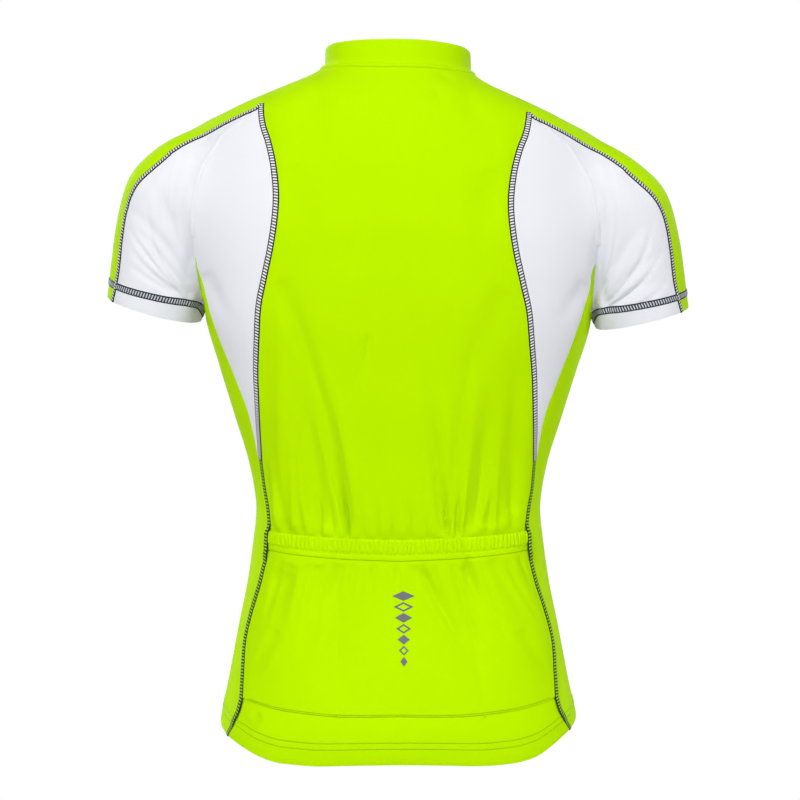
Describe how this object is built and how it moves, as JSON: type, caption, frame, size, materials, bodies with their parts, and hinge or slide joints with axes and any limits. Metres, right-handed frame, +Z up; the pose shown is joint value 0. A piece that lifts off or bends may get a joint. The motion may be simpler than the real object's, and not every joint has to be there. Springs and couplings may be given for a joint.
{
  "type": "cycling jersey",
  "caption": "Short-sleeved fitted jersey filled out as worn: stand collar, full front zip, contrast side panels and sleeves, and gathered rear pockets.",
  "frame": {"origin": "middle of the neck opening, at the height of the side neck points, where the wearer holds it up", "axes": "+Z up, +X towards the wearer's left, +Y towards the back"},
  "size_m": [0.5827, 0.2364, 0.7101],
  "materials": {
    "green_knit": "smooth fluorescent polyester knit",
    "white_knit": "smooth white polyester knit",
    "elastic_band": "gathered elastic under knit",
    "zip_tape": "woven tape with coil teeth",
    "zip_metal": "satin dark lacquer"
  },
  "bodies": {
    "garment": {"back": "green_knit", "collar": "green_knit", "front_left": "green_knit", "front_right": "green_knit", "side_left": "green_knit", "side_right": "green_knit", "shoulder_strip_left": "green_knit", "shoulder_strip_right": "green_knit", "pocket": "green_knit", "back_side_left": "white_knit", "back_side_right": "white_knit", "sleeve_left": "white_knit", "sleeve_right": "white_knit", "pocket_band": "elastic_band", "zip_tape": "zip_tape", "zip_slider": "zip_metal"},
    "pull": {"zip_pull": "zip_metal"}
  },
  "joints": [
    {"name": "pull_hinge", "type": "hinge", "parent": "garment", "child": "pull", "pos_m": [0, -0.05832, -0.03374], "axis": [-1, 0, 0], "range_deg": [0, 150]}
  ]
}
